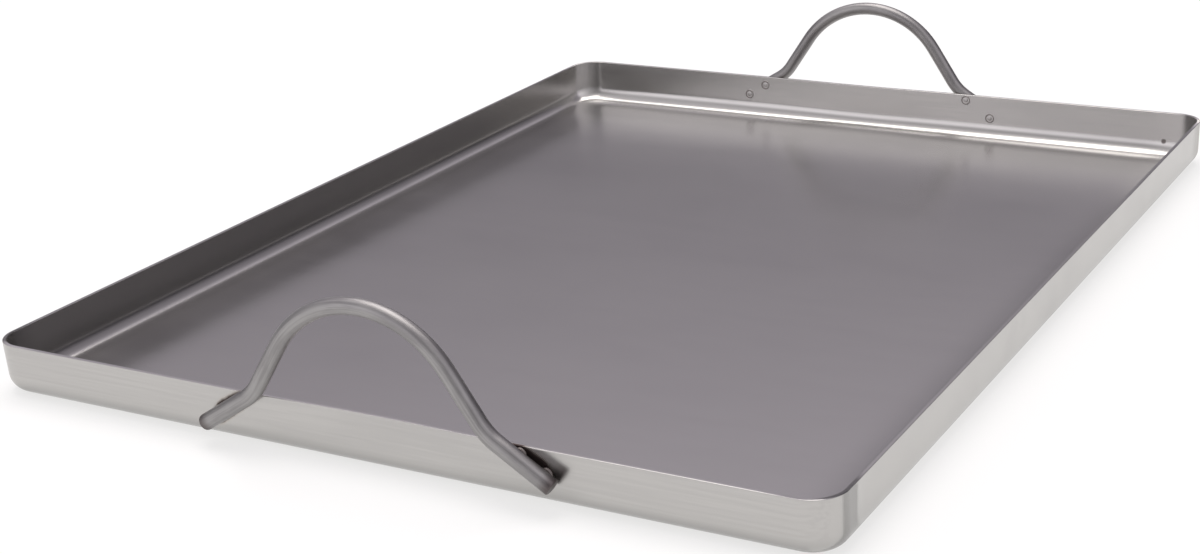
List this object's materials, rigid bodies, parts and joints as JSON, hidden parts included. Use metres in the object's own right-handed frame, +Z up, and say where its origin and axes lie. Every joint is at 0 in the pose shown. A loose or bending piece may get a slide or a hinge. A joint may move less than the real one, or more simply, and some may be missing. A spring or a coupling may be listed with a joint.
{
  "type": "griddle tray",
  "caption": "Shallow rectangular steel griddle tray with rounded corners and a bent round-rod loop handle spot-welded to each short end wall.",
  "frame": {"origin": "centre of the underside, the flat face the tray rests on", "axes": "+Z up, +X across the width, +Y along the length from the front handle to the rear handle"},
  "size_m": [0.45, 0.6166, 0.085],
  "materials": {
    "tray_sheet": "satin rolled stainless sheet, slightly marked, darker on the cooking surface",
    "handle_rod": "drawn stainless rod, brushed lengthways, heat-tinted at the ends",
    "weld_metal": "bare weld, dark ring of heat tint"
  },
  "bodies": {
    "root": {"griddle_tray": "tray_sheet", "front_handle": "handle_rod", "rear_handle": "handle_rod", "front_left_upper_weld": "weld_metal", "front_left_lower_weld": "weld_metal", "front_right_upper_weld": "weld_metal", "front_right_lower_weld": "weld_metal", "rear_left_upper_weld": "weld_metal", "rear_left_lower_weld": "weld_metal", "rear_right_upper_weld": "weld_metal", "rear_right_lower_weld": "weld_metal"}
  },
  "joints": []
}
